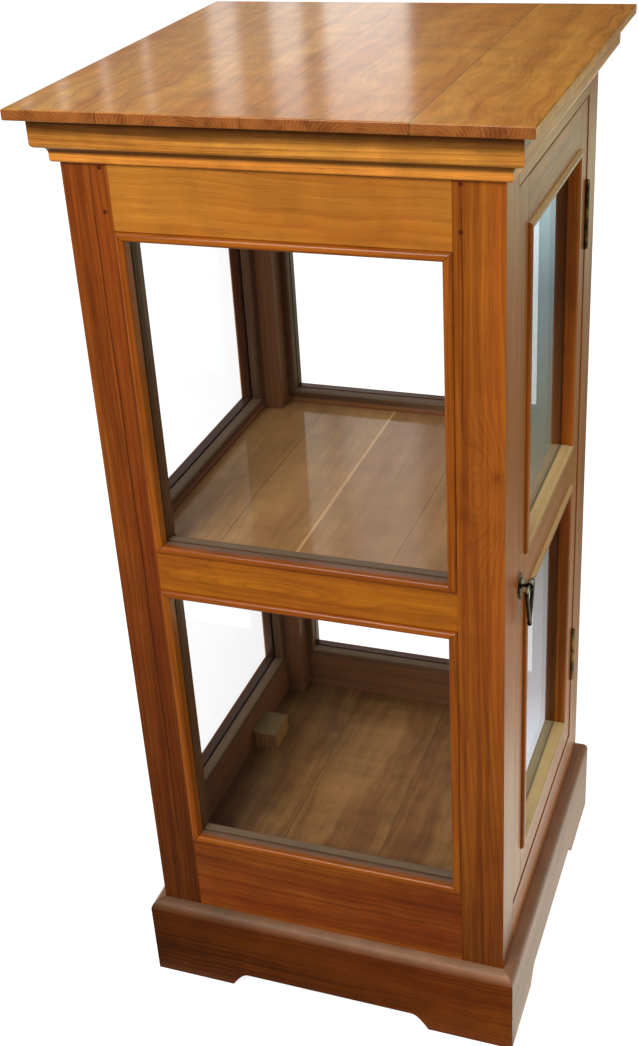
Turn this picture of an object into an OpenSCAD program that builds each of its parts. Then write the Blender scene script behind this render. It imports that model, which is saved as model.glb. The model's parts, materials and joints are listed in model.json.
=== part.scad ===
// Glazed display cabinet on a plinth, with a moulded cornice and one hinged side door.
// Millimetres. +Z is up, the front faces -Y, the door is on the +X side, and the origin is on the
// floor at the middle of the plan.

/* [Case] */
// Outer width of the case across the corner posts
case_w = 440; // [380:5:640]
// Outer depth of the case across the corner posts
case_d = 440; // [380:5:640]
// Side of each square corner post
post_w = 50; // [46:1:60]
// Thickness of the rails, which is also the thickness of the glazed walls
rail_t = 25; // [22:0.5:32]
// Radius on the long edges of posts and rails
arris_r = 0.8; // [0.6:0.1:2]

/* [Heights] */
// Height of the plinth
plinth_h = 115; // [95:1:160]
// Height of the bottom rails that shows above the plinth
bottom_rail_show = 106; // [96:1:150]
// Height of the bottom rails that is hidden behind the plinth
bottom_rail_hidden = 40; // [20:1:60]
// Height of the frame opening of each glazed bay
bay_h = 364; // [260:2:520]
// Height of the mid rails
mid_rail_h = 48; // [44:1:70]
// Height of the top rails, up to the underside of the top board
top_rail_h = 115; // [104:1:150]

/* [Top board] */
// Thickness of the top board
top_t = 11; // [8:0.5:22]
// Overhang of the top board past the case at the left and right
top_over_side = 33; // [26:1:50]
// Overhang of the top board past the case at the front and back
top_over_front = 38; // [26:1:50]
// Radius on the edges of the top board
top_edge_r = 1.5; // [1:0.5:3]

/* [Cornice] */
// Height of the flat upper band of the cornice
fascia_h = 31; // [18:0.5:34]
// How far the flat band stands out from the case
fascia_over = 19.5; // [18.5:0.5:24]
// Radius on the lower edge of the flat band
fascia_r = 5; // [2:0.5:6]
// Radius of the hollow below the flat band
cove_r = 7; // [4:0.5:8]
// Height of the lower band, below the hollow
lower_band_h = 9; // [6:0.5:12]
// Radius on the lower edge of the lower band
lower_band_r = 3; // [1:0.5:3.5]

/* [Plinth] */
// How far the plinth boards stand out from the case
plinth_proud = 15; // [12:0.5:22]
// Radius on the upper outer edge of the plinth
plinth_edge_r = 14; // [6:0.5:20]
// Length of each bracket foot, from the plinth's corner
foot_l = 105; // [80:1:130]
// Height of the shallow arch between the feet
arch_h = 21; // [12:1:34]
// Length over which a foot curves up into the arch
arch_ramp = 22; // [14:1:40]

/* [Joinery] */
// Length of the tenons on the rails
tenon_l = 22; // [14:1:26]
// Thickness of the tenons
tenon_t = 8; // [6:0.5:10]
// Shoulder above and below each tenon
tenon_shoulder = 9; // [6:0.5:12]
// Clearance round each tenon in its mortise
tenon_clear = 0.15; // [0.1:0.05:0.4]
// Radius of the pegs that pin the top tenons
peg_r = 2.25; // [1.5:0.25:3]
// Length of a peg
peg_l = 21; // [18:0.5:24]
// Distance of the pegs from the joint line
peg_in = 8; // [6:0.5:11]
// Height of the lower peg above the bottom of the top rail
peg_low = 19; // [16:1:24]
// Distance between the two pegs of a joint
peg_pitch = 44; // [30:1:60]
// Clearance round a peg
peg_clear = 0.05; // [0.02:0.01:0.1]
// Gap left at each mitre
mitre_gap = 0.1; // [0.05:0.05:0.3]

/* [Glazing] */
// Width of the glazing beads round each pane
bead_w = 9.5; // [7:0.5:12]
// How far the outer beads stand out from the frame
bead_proud = 4; // [2:0.5:6]
// Radius on the nose of the outer beads
bead_nose_r = 4; // [2:0.25:4.5]
// Radius on the edge of the inner beads
inner_bead_r = 2.5; // [1:0.25:4]
// Distance from the outside of the frame to the glass
glass_set_back = 10; // [7:0.5:12]
// Thickness of the glass
glass_t = 3; // [2:0.5:4]
// Clearance round the edges of each pane
glass_clear = 1.5; // [1:0.25:3]

/* [Door] */
// Thickness of the door frame
door_t = 22; // [20:0.5:26]
// How far the door lies back from the face of the case
door_recess = 1; // [0.5:0.25:3]
// Gap between the door and each post
door_gap = 2; // [1.5:0.25:3]
// Gap above the door and below it
door_end_gap = 2; // [2:0.25:5]
// Width of the door's stiles
door_stile_w = 41; // [36:1:60]
// Height of the door's top rail
door_top_rail_h = 46; // [36:1:60]
// Height of the door's bottom rail
door_bottom_rail_h = 48; // [36:1:60]

/* [Shelf and floor] */
// How far the top of the shelf lies below the top of the mid rails
shelf_drop = 6; // [4:1:12]
// Thickness of the shelf
shelf_t = 20; // [14:1:22]
// Thickness of the floor boards
floor_t = 18; // [14:1:22]
// Side of the square cleats that carry the shelf and the floor
cleat_w = 18; // [12:1:20]
// Clearance round the edges of the shelf and the floor
board_clear = 1; // [0.5:0.25:2]
// Width of the loose block on the floor
block_w = 34; // [20:1:60]
// Depth of the loose block
block_d = 50; // [20:1:80]
// Height of the loose block
block_h = 25; // [15:1:60]
// Distance of the block's front from the middle of the case
block_y = 30; // [-100:2:80]

/* [Hinges] */
// Length of each butt hinge
hinge_l = 76; // [60:1:90]
// Distance of each hinge from the end of the door
hinge_inset = 95; // [60:1:140]
// Width of one hinge leaf, from the pin's axis
leaf_w = 21; // [16:0.5:22]
// Thickness of a hinge leaf
leaf_t = 1.7; // [1.2:0.1:2.2]
// Clearance between the two closed leaves
leaf_gap = 0.6; // [0.4:0.1:0.8]
// Outer radius of the hinge knuckles
knuckle_r = 3.5; // [3.2:0.1:4.5]
// Number of knuckles, an odd number
knuckles = 5; // [3:2:7]
// Gap between one knuckle and the next
knuckle_gap = 0.4; // [0.3:0.1:0.8]
// Radius of the hinge pin
pin_r = 2; // [1.5:0.1:2.4]
// Radial clearance of the hinge pin
pin_clear = 0.05; // [0.02:0.01:0.1]
// Radius of the hinge pin's heads
pin_head_r = 3; // [2.6:0.1:3.4]
// Height of each head of the hinge pin
pin_head_h = 2; // [1:0.5:4]
// Clearance of the knuckles in the wood
knuckle_clear = 0.4; // [0.3:0.1:0.8]
// Radius of the hinge screws' shanks
screw_r = 1.6; // [1.2:0.1:1.8]
// Radius of the hinge screws' heads
screw_head_r = 3; // [2.6:0.1:3.4]
// Length of the hinge screws
screw_l = 16; // [10:1:20]
// Distance between one hinge screw and the next
screw_pitch = 26; // [18:1:27]
// Distance of the hinge screws from the pin's axis
screw_in = 13; // [9:0.5:14]

/* [Pull] */
// Thickness of the pull's back plate
plate_t = 1.6; // [1:0.2:3]
// Width of the pointed oval back plate
plate_w = 16; // [14:0.5:24]
// Height of the back plate
plate_h = 34; // [28:0.5:48]
// How far the middle of the back plate lies below the ring's axis
plate_drop = 3; // [0:0.5:4]
// Radius of the small balls of metal that end the back plate
plate_tip_r = 2; // [1.5:0.1:2.5]
// Distance from the door's face to the axis that the ring turns on
pull_reach = 11; // [10:0.5:16]
// Radius of the pull's stud
stud_r = 3.5; // [3:0.1:4.5]
// Radius of the stud's shank in the door
shank_r = 2.5; // [2:0.1:3]
// Depth of the stud's shank in the door
shank_l = 15; // [10:1:18]
// Radius of the ring's bar, which turns in the stud
ring_bar_r = 1.6; // [1.2:0.1:1.9]
// Radial clearance of the bar in the stud
ring_clear = 0.1; // [0.05:0.01:0.1]
// Radius of the ring's rod
ring_rod_r = 2.2; // [1.8:0.1:2.4]
// Half of the ring's width, to the middle of its rod
ring_half_w = 14.5; // [10.8:0.1:18]
// Radius of the bends at the top of the ring
ring_bend_r = 5; // [4:0.5:6]
// Drop from the bar to the middle of the ball at the ring's tip
ring_drop = 49; // [36:1:60]
// Radius of the ball at the ring's tip
ring_tip_r = 3; // [2.6:0.1:4]

/* [Catch] */
// Length of the magnetic catch
catch_l = 44; // [30:1:60]
// Depth of the magnetic catch
catch_d = 12; // [8:0.5:16]
// Height of the magnetic catch
catch_h = 36; // [30:1:44]
// How far the catch hangs below the header over the door
catch_hang = 17; // [12:0.5:20]
// Thickness of the steel strike on the door
strike_t = 1; // [0.8:0.1:1.5]
// Length and height of the strike
strike_size = 30; // [20:1:40]
// Distance of the catch's middle from the lock edge of the door
catch_in = 63; // [40:1:100]
// Clearance between the catch and the strike
catch_clear = 0.3; // [0.2:0.1:0.8]

/* [Hidden] */
$fn = 48;

// Drawn past each face that is cut, so that no skin is left.
cut = 1;
// The least flat left on top of the plinth behind its rounded edge.
plinth_flat = 1;
// The wood left between the tenon of the door's mid rail and the shank of the pull.
shank_wall = 1.5;
// The flat left under the upper band of the cornice, behind its rounded edge.
fascia_flat = 0.5;
// The straight rim of a countersunk screw's head, below the face of the leaf.
screw_sink = 0.3;
// How far the nose of the catch starts above the lower side of its housing.
nose_rise = 3;

// Levels above the floor, from the bottom up.
bottom_rail_z = plinth_h - bottom_rail_hidden;
lower_bay_z = plinth_h + bottom_rail_show;
mid_rail_z = lower_bay_z + bay_h;
upper_bay_z = mid_rail_z + mid_rail_h;
top_rail_z = upper_bay_z + bay_h;
case_top_z = top_rail_z + top_rail_h;
door_bottom_z = lower_bay_z - door_bottom_rail_h;
door_top_z = top_rail_z + door_top_rail_h;
sill_top_z = door_bottom_z - door_end_gap;
header_z = door_top_z + door_end_gap;
cornice_h = fascia_h + cove_r + lower_band_h;
cornice_z = case_top_z - cornice_h;
shelf_top_z = upper_bay_z - shelf_drop;
bays = [lower_bay_z, upper_bay_z];

// The door, in the frame of the right-hand wall: X runs from the lock side to the hinge side.
door_span = case_d - 2 * post_w - 2 * door_gap;
door_bay_w = door_span - 2 * door_stile_w;
door_face_y = -(case_w / 2 - door_recess);
lock_stile_mid = -door_span / 2 + door_stile_w / 2;
door_tenon_l = door_stile_w / 2 - shank_r - shank_wall;

// The middle of the catch and of its strike, in the case's frame.
catch_y = -door_span / 2 + catch_in;

// The door's hinge axis, in the case's frame.
hinge_x = case_w / 2;
hinge_y = case_d / 2 - post_w - door_gap / 2;
hinge_zs = [door_bottom_z + hinge_inset, door_top_z - hinge_inset - hinge_l];
knuckle_pitch = hinge_l / knuckles;

// The pull's axis, in the case's frame.
pull_x = case_w / 2 - door_recess + pull_reach;
pull_y = lock_stile_mid;
pull_z = mid_rail_z + mid_rail_h / 2;

wood = "peru";
dark_wood = "saddlebrown";
brass = "darkgoldenrod";
bronze = "darkslategray";

// Length of a wall across its posts, and where its outer face lies.
function wall_span(side) = side == "front" || side == "back" ? case_w : case_d;
function wall_face(side) = side == "front" || side == "back" ? -case_d / 2 : -case_w / 2;
function bay_w(side) = wall_span(side) - 2 * post_w;
function turn(side) = side == "front" ? 0 : side == "right" ? 90 : side == "back" ? 180 : -90;
function rails(side) = side == "right"
    ? [[bottom_rail_z, sill_top_z], [header_z, case_top_z]]
    : [[bottom_rail_z, lower_bay_z], [mid_rail_z, upper_bay_z], [top_rail_z, case_top_z]];

// Puts a piece drawn for the front wall on another wall.
module on_wall(side) {
    rotate(turn(side)) children();
}

module round_rect(w, h, r) {
    translate([r, 0]) square([w - 2 * r, h]);
    translate([0, r]) square([w, h - 2 * r]);
    for (x = [r, w - r], y = [r, h - r])
        translate([x, y]) circle(r = r);
}

// A bar from corner lo to corner hi, with rounded edges along one axis.
module bar(lo, hi, axis, r = arris_r) {
    size = hi - lo;
    if (axis == "z")
        translate(lo) linear_extrude(size.z) round_rect(size.x, size.y, r);
    else if (axis == "x")
        translate(lo) rotate([90, 0, 90]) linear_extrude(size.x) round_rect(size.y, size.z, r);
    else
        translate([lo.x, hi.y, lo.z]) rotate([90, 0, 0])
            linear_extrude(size.y) round_rect(size.x, size.z, r);
}

module block(lo, hi) {
    translate(lo) cube(hi - lo);
}

// Both tenons of a rail between the two posts of a wall.
module tenons(side, z0, z1, grow = 0) {
    half = wall_span(side) / 2 - post_w;
    mid_y = wall_face(side) + rail_t / 2;
    for (end = [-1, 1])
        translate([end * (half + tenon_l / 2), mid_y, (z0 + z1) / 2])
            cube([tenon_l + 2 * grow, tenon_t + 2 * grow, z1 - z0 - 2 * tenon_shoulder + 2 * grow],
                 center = true);
}

// The pegs through both top joints of a wall.
module wall_pegs(side, grow = 0) {
    x = wall_span(side) / 2 - post_w + peg_in;
    for (end = [-1, 1], z = [peg_low, peg_low + peg_pitch])
        translate([end * x, wall_face(side), top_rail_z + z])
            rotate([-90, 0, 0]) cylinder(r = peg_r + grow, h = peg_l + grow);
}

module rail(side, z0, z1, pegged = false) {
    half = wall_span(side) / 2 - post_w;
    face = wall_face(side);
    color(wood) on_wall(side) difference() {
        union() {
            bar([-half, face, z0], [half, face + rail_t, z1], "x");
            tenons(side, z0, z1);
        }
        if (pegged) wall_pegs(side, peg_clear);
    }
}

module wall_rail(side, i) {
    span = rails(side)[i];
    rail(side, span[0], span[1], side != "right" && i == 2);
}

// A corner post. The signs say which corner of the plan it stands in.
module post(x_sign, y_sign) {
    walls = [y_sign < 0 ? "front" : "back", x_sign < 0 ? "left" : "right"];
    x0 = x_sign < 0 ? -case_w / 2 : case_w / 2 - post_w;
    y0 = y_sign < 0 ? -case_d / 2 : case_d / 2 - post_w;
    color(wood) difference() {
        bar([x0, y0, 0], [x0 + post_w, y0 + post_w, case_top_z], "z");
        for (side = walls) on_wall(side) {
            for (span = rails(side)) tenons(side, span[0], span[1], tenon_clear);
            if (side != "right") wall_pegs(side, peg_clear);
        }
        if (x_sign > 0 && y_sign > 0) hinge_seats(1);
    }
}

module top_board() {
    hx = case_w / 2 + top_over_side;
    hy = case_d / 2 + top_over_front;
    lo = [-hx, -hy, case_top_z];
    hi = [hx, hy, case_top_z + top_t];
    color(wood) intersection() {
        bar(lo, hi, "x", top_edge_r);
        bar(lo, hi, "y", top_edge_r);
    }
}

// Runs a profile along a wall's outer face, mitred at both ends. The profile's X is the distance
// out from the face, and its Y is the height.
module mitred_run(side, reach) {
    half = wall_span(side) / 2 - mitre_gap;
    long = half + reach + cut;
    translate([0, wall_face(side), 0]) intersection() {
        translate([-long, 0, 0]) rotate([90, 0, 90]) linear_extrude(2 * long)
            mirror([1, 0]) children();
        translate([0, 0, -cut]) linear_extrude(case_top_z + 2 * cut)
            polygon([[-half, 0], [half, 0], [half + reach + cut, -reach - cut],
                     [-half - reach - cut, -reach - cut]]);
    }
}

module cornice_profile() {
    band_over = fascia_over - fascia_r - fascia_flat - cove_r;
    band_top_z = cornice_z + lower_band_h;
    fascia_z = band_top_z + cove_r;
    translate([0, cornice_z]) square([band_over - lower_band_r, lower_band_h]);
    translate([0, cornice_z + lower_band_r]) square([band_over, lower_band_h - lower_band_r]);
    translate([band_over - lower_band_r, cornice_z + lower_band_r]) circle(r = lower_band_r);
    difference() {
        translate([0, band_top_z]) square([band_over + cove_r, cove_r]);
        translate([band_over + cove_r, band_top_z]) circle(r = cove_r);
    }
    translate([0, fascia_z]) square([fascia_over - fascia_r, fascia_h]);
    translate([0, fascia_z + fascia_r]) square([fascia_over, fascia_h - fascia_r]);
    translate([fascia_over - fascia_r, fascia_z + fascia_r]) circle(r = fascia_r);
}

module cornice(side) {
    color(wood) on_wall(side) mitred_run(side, fascia_over) cornice_profile();
}

module plinth_profile() {
    r = min(plinth_edge_r, plinth_proud - plinth_flat);
    square([plinth_proud, plinth_h - r]);
    square([plinth_proud - r, plinth_h]);
    translate([plinth_proud - r, plinth_h - r]) circle(r = r);
}

// The arch between two bracket feet. It rises steeply from each foot and runs out level.
module arch_outline(half) {
    steps = 12;
    ramp = [for (i = [0 : steps]) [arch_ramp * i / steps, arch_h * sin(90 * i / steps)]];
    polygon(concat(
        [[-half, -cut]],
        [for (p = ramp) [-half + p.x, p.y]],
        [for (i = [steps : -1 : 0]) [half - ramp[i].x, ramp[i].y]],
        [[half, -cut]]));
}

module plinth(side) {
    half = wall_span(side) / 2 + plinth_proud - foot_l;
    color(dark_wood) on_wall(side) difference() {
        mitred_run(side, plinth_proud) plinth_profile();
        translate([0, wall_face(side) + cut, 0]) rotate([90, 0, 0])
            linear_extrude(plinth_proud + 2 * cut) arch_outline(half);
    }
}

// One bead strip along the lower edge of an opening. Its profile's X is the distance out from the
// glass, and its Y is the distance into the opening.
module bead_strip(length, depth) {
    foot = length / 2 - mitre_gap;
    intersection() {
        translate([-length / 2, 0, 0]) rotate([90, 0, 90]) linear_extrude(length) children();
        translate([0, depth + cut, 0]) rotate([90, 0, 0]) linear_extrude(2 * (depth + cut))
            polygon([[-foot, 0], [foot, 0], [foot - bead_w, bead_w], [-foot + bead_w, bead_w]]);
    }
}

// Four strips round an opening that is centred on the origin in X and Z.
module bead_ring(w, h, depth) {
    for (i = [0 : 3]) {
        length = i % 2 == 0 ? w : h;
        rotate([0, 90 * i, 0]) translate([0, 0, -(i % 2 == 0 ? h : w) / 2])
            bead_strip(length, depth) children();
    }
}

module outer_bead_profile() {
    depth = glass_set_back + bead_proud;
    r = bead_nose_r;
    mirror([1, 0]) {
        square([depth - r, bead_w]);
        translate([0, r]) square([depth, bead_w - 2 * r]);
        for (y = [r, bead_w - r]) translate([depth - r, y]) circle(r = r);
    }
}

module inner_bead_profile(depth) {
    r = min(inner_bead_r, depth / 2);
    square([depth - r, bead_w]);
    square([depth, bead_w - r]);
    translate([depth - r, bead_w - r]) circle(r = r);
}

// The beads in front of both panes of a frame, and the beads behind them.
module outer_beads(w, face) {
    for (z = bays) translate([0, face + glass_set_back, z + bay_h / 2])
        bead_ring(w, bay_h, glass_set_back + bead_proud) outer_bead_profile();
}

module inner_beads(w, face, frame_t) {
    depth = frame_t - glass_set_back - glass_t;
    for (z = bays) translate([0, face + glass_set_back + glass_t, z + bay_h / 2])
        bead_ring(w, bay_h, depth) inner_bead_profile(depth);
}

module pane(w, face, z) {
    color("lightblue", 0.35)
        block([-w / 2 + glass_clear, face + glass_set_back, z + glass_clear],
              [w / 2 - glass_clear, face + glass_set_back + glass_t, z + bay_h - glass_clear]);
}

module wall_outer_beads(side) {
    color(wood) on_wall(side) outer_beads(bay_w(side), wall_face(side));
}

module wall_glass(side, z) {
    on_wall(side) pane(bay_w(side), wall_face(side), z);
}

module case_inner_beads() {
    color(wood) for (side = ["front", "back", "left"])
        on_wall(side) inner_beads(bay_w(side), wall_face(side), rail_t);
}

module tenon_pegs() {
    color(dark_wood) for (side = ["front", "back", "left"]) on_wall(side) wall_pegs(side);
}

// A board that fits inside the walls and is notched round the posts.
module notched_board(right_x, z0, z1) {
    half_x = case_w / 2 - rail_t - board_clear;
    half_y = case_d / 2 - rail_t - board_clear;
    post_x = case_w / 2 - post_w - board_clear;
    post_y = case_d / 2 - post_w - board_clear;
    color(wood) difference() {
        block([-half_x, -half_y, z0], [right_x, half_y, z1]);
        for (sx = [-1, 1], sy = [-1, 1])
            translate([sx * (post_x + post_w / 2), sy * (post_y + post_w / 2), (z0 + z1) / 2])
                cube([post_w, post_w, z1 - z0 + 2 * cut], center = true);
    }
}

module shelf_board() {
    door_back = case_w / 2 - door_recess - door_t;
    notched_board(door_back - board_clear, shelf_top_z - shelf_t, shelf_top_z);
}

module floor_board() {
    notched_board(case_w / 2 - rail_t - board_clear, sill_top_z - floor_t, sill_top_z);
}

module board_cleats() {
    half = case_w / 2 - post_w - board_clear;
    inner = case_d / 2 - rail_t;
    color(dark_wood) for (top = [sill_top_z - floor_t, shelf_top_z - shelf_t], a = [0, 180])
        rotate(a) block([-half, -inner, top - cleat_w], [half, -inner + cleat_w, top]);
}

module floor_block() {
    x0 = -case_w / 2 + rail_t + board_clear;
    color(wood) bar([x0, block_y, sill_top_z], [x0 + block_w, block_y + block_d, sill_top_z + block_h],
                    "z");
}

// The door's stiles run its full height, with its rails between them.
module door_stile(x0) {
    bar([x0, door_face_y, door_bottom_z],
        [x0 + door_stile_w, door_face_y + door_t, door_top_z], "z");
}

module door_tenons(z0, z1, grow = 0) {
    for (end = [-1, 1])
        translate([end * (door_bay_w + door_tenon_l) / 2, door_face_y + door_t / 2, (z0 + z1) / 2])
            cube([door_tenon_l + 2 * grow, tenon_t + 2 * grow, z1 - z0 - 2 * tenon_shoulder + 2 * grow],
                 center = true);
}

door_rails = [[door_bottom_z, lower_bay_z], [mid_rail_z, upper_bay_z], [top_rail_z, door_top_z]];

module door_rail(i) {
    z0 = door_rails[i][0];
    z1 = door_rails[i][1];
    color(wood) on_wall("right") {
        bar([-door_bay_w / 2, door_face_y, z0], [door_bay_w / 2, door_face_y + door_t, z1], "x");
        door_tenons(z0, z1);
    }
}

module door_lock_stile() {
    color(wood) difference() {
        on_wall("right") difference() {
            door_stile(-door_span / 2);
            for (span = door_rails) door_tenons(span[0], span[1], tenon_clear);
        }
        translate([pull_x - pull_reach - shank_l - tenon_clear, pull_y, pull_z]) rotate([0, 90, 0])
            cylinder(r = shank_r + pin_clear, h = shank_l + cut);
    }
}

module door_hinge_stile() {
    color(wood) difference() {
        on_wall("right") difference() {
            door_stile(door_span / 2 - door_stile_w);
            for (span = door_rails) door_tenons(span[0], span[1], tenon_clear);
        }
        hinge_seats(-1);
    }
}

// Side 1 is the leaf on the case's post, and side -1 is the leaf on the door.
module leaf_plate(side, grow = 0) {
    y_near = side * leaf_gap / 2;
    y_far = side * (leaf_gap / 2 + leaf_t);
    translate([-leaf_w - grow, min(y_near, y_far) - grow, -grow])
        cube([leaf_w - knuckle_r - knuckle_gap + 2 * grow, leaf_t + 2 * grow, hinge_l + 2 * grow]);
}

// One countersunk screw. It starts at the face of the leaf and runs along Y.
module screw(side, grow = 0) {
    head_h = leaf_t - screw_sink;
    rotate([-90 * side, 0, 0]) {
        cylinder(r1 = screw_head_r + grow, r2 = screw_r + grow, h = head_h);
        cylinder(r = screw_r + grow, h = screw_l + grow);
    }
}

module leaf_screws(side, grow = 0) {
    for (i = [-1, 0, 1])
        translate([-screw_in, side * leaf_gap / 2, hinge_l / 2 + i * screw_pitch]) screw(side, grow);
}

module hinge_leaf(side) {
    first = side > 0 ? 0 : 1;
    difference() {
        union() {
            leaf_plate(side);
            for (i = [first : 2 : knuckles - 1])
                translate([0, 0, i * knuckle_pitch + knuckle_gap / 2]) {
                    h = knuckle_pitch - knuckle_gap;
                    cylinder(r = knuckle_r, h = h);
                    y0 = side > 0 ? leaf_gap / 2 : -leaf_gap / 2 - leaf_t;
                    translate([-knuckle_r - 2 * knuckle_gap, y0, 0])
                        cube([knuckle_r + 2 * knuckle_gap, leaf_t, h]);
                }
        }
        translate([0, 0, -cut]) cylinder(r = pin_r + pin_clear, h = hinge_l + 2 * cut);
        leaf_screws(side, pin_clear);
    }
}

module at_hinge(i) {
    translate([hinge_x, hinge_y, hinge_zs[i]]) children();
}

// What the hinges need cut out of the post and the stile: room for the knuckles, a seat for each
// leaf and a pilot hole for each screw.
module hinge_seats(side) {
    seat = leaf_gap / 2 + leaf_t;
    for (i = [0, 1]) at_hinge(i) {
        translate([0, 0, -pin_head_h - knuckle_clear])
            cylinder(r = knuckle_r + knuckle_clear, h = hinge_l + 2 * (pin_head_h + knuckle_clear));
        translate([-leaf_w - tenon_clear, side > 0 ? 0 : -seat, -tenon_clear])
            cube([leaf_w + 2 * tenon_clear, seat, hinge_l + 2 * tenon_clear]);
        leaf_screws(side, pin_clear);
    }
}

module hinge_pins() {
    color(brass) for (i = [0, 1]) at_hinge(i) {
        cylinder(r = pin_r, h = hinge_l);
        translate([0, 0, hinge_l]) cylinder(r = pin_head_r, h = pin_head_h);
        translate([0, 0, -pin_head_h]) cylinder(r = pin_head_r, h = pin_head_h);
    }
}

module hinge_screws(side) {
    color(brass) for (i = [0, 1]) at_hinge(i) leaf_screws(side);
}

module pull_back_plate() {
    arc_r = (plate_h * plate_h + plate_w * plate_w) / (4 * plate_w);
    tip_y = plate_h / 2 - plate_tip_r;
    color(bronze) translate([pull_x - pull_reach, pull_y, pull_z]) rotate([90, 0, 90])
        linear_extrude(plate_t) difference() {
            translate([0, -plate_drop]) {
                intersection() {
                    translate([arc_r - plate_w / 2, 0]) circle(r = arc_r, $fn = 96);
                    translate([plate_w / 2 - arc_r, 0]) circle(r = arc_r, $fn = 96);
                }
                for (y = [-tip_y, tip_y]) translate([0, y]) circle(r = plate_tip_r);
            }
            circle(r = shank_r + pin_clear);
        }
}

module pull_stud() {
    color(bronze) translate([pull_x, pull_y, pull_z]) difference() {
        union() {
            translate([-pull_reach + plate_t, 0, 0]) rotate([0, 90, 0])
                cylinder(r = stud_r, h = pull_reach - plate_t);
            sphere(r = stud_r);
            translate([-pull_reach - shank_l, 0, 0]) rotate([0, 90, 0])
                cylinder(r = shank_r, h = shank_l + plate_t + cut);
        }
        translate([0, -stud_r - cut, 0]) rotate([-90, 0, 0])
            cylinder(r = ring_bar_r + ring_clear, h = 2 * (stud_r + cut));
    }
}

// A teardrop ring on a straight bar. Each half runs from the bar round a bend and straight down to
// the ball at the tip.
module pull_ring() {
    bar_half = ring_half_w - ring_bend_r;
    bar_end = bar_half + cut;
    gap = [bar_half, ring_drop - ring_bend_r];
    reach = norm(gap);
    lean = atan2(gap.x, gap.y) + asin(ring_bend_r / reach);
    leg = sqrt(reach * reach - ring_bend_r * ring_bend_r);
    color(bronze) translate([pull_x, pull_y, pull_z]) rotate([90, 0, 90]) {
        translate([-bar_end, 0, 0]) rotate([0, 90, 0]) cylinder(r = ring_bar_r, h = 2 * bar_end);
        for (s = [0, 1]) mirror([s, 0, 0]) translate([bar_half, -ring_bend_r, 0]) rotate(-lean) {
            rotate_extrude(angle = 90 + lean)
                translate([ring_bend_r, 0]) circle(r = ring_rod_r);
            translate([ring_bend_r, 0, 0]) rotate([90, 0, 0]) cylinder(r = ring_rod_r, h = leg);
        }
        translate([0, -ring_drop, 0]) sphere(r = ring_tip_r);
    }
}

module magnetic_catch() {
    x_face = case_w / 2 - rail_t;
    nose = rail_t - door_recess - door_t - strike_t - catch_clear;
    z0 = header_z - catch_hang;
    color("dimgray") {
        block([x_face - catch_d, catch_y - catch_l / 2, z0],
              [x_face, catch_y + catch_l / 2, z0 + catch_h]);
        block([x_face - cut, catch_y - catch_l / 4, z0 + nose_rise],
              [x_face + nose, catch_y + catch_l / 4, door_top_z - cut]);
    }
}

module catch_strike() {
    x_back = case_w / 2 - door_recess - door_t;
    z1 = door_top_z - cut;
    color("silver") block([x_back - strike_t, catch_y - strike_size / 2, z1 - strike_size],
                          [x_back, catch_y + strike_size / 2, z1]);
}

top_board();
cornice("front");  // cornice_front
cornice("back");  // cornice_back
cornice("left");  // cornice_left
cornice("right");  // cornice_right
post(-1, -1);  // post_front_left
post(1, -1);  // post_front_right
post(-1, 1);  // post_back_left
post(1, 1);  // post_back_right
wall_rail("front", 2);  // front_top_rail
wall_rail("front", 1);  // front_mid_rail
wall_rail("front", 0);  // front_bottom_rail
wall_rail("back", 2);  // back_top_rail
wall_rail("back", 1);  // back_mid_rail
wall_rail("back", 0);  // back_bottom_rail
wall_rail("left", 2);  // left_top_rail
wall_rail("left", 1);  // left_mid_rail
wall_rail("left", 0);  // left_bottom_rail
wall_rail("right", 1);  // door_header
wall_rail("right", 0);  // door_sill_rail
plinth("front");  // plinth_front
plinth("back");  // plinth_back
plinth("left");  // plinth_left
plinth("right");  // plinth_right
wall_glass("front", upper_bay_z);  // glass_front_upper
wall_glass("front", lower_bay_z);  // glass_front_lower
wall_glass("back", upper_bay_z);  // glass_back_upper
wall_glass("back", lower_bay_z);  // glass_back_lower
wall_glass("left", upper_bay_z);  // glass_left_upper
wall_glass("left", lower_bay_z);  // glass_left_lower
on_wall("right") pane(door_bay_w, door_face_y, upper_bay_z);  // glass_door_upper
on_wall("right") pane(door_bay_w, door_face_y, lower_bay_z);  // glass_door_lower
wall_outer_beads("front");  // front_outer_beads
wall_outer_beads("back");  // back_outer_beads
wall_outer_beads("left");  // left_outer_beads
color(wood) on_wall("right") outer_beads(door_bay_w, door_face_y);  // door_outer_beads
case_inner_beads();
color(wood) on_wall("right") inner_beads(door_bay_w, door_face_y, door_t);  // door_inner_beads
shelf_board();
floor_board();
board_cleats();
floor_block();
door_lock_stile();
door_hinge_stile();
door_rail(2);  // door_top_rail
door_rail(1);  // door_mid_rail
door_rail(0);  // door_bottom_rail
color(brass) at_hinge(1) hinge_leaf(1);  // upper_hinge_case_leaf
color(brass) at_hinge(1) hinge_leaf(-1);  // upper_hinge_door_leaf
color(brass) at_hinge(0) hinge_leaf(1);  // lower_hinge_case_leaf
color(brass) at_hinge(0) hinge_leaf(-1);  // lower_hinge_door_leaf
hinge_pins();
hinge_screws(1);  // hinge_screws_case
hinge_screws(-1);  // hinge_screws_door
pull_back_plate();
pull_stud();
pull_ring();
magnetic_catch();
catch_strike();
tenon_pegs();
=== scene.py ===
import json
import math
import bmesh
import bpy
from mathutils import Matrix, Vector


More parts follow.
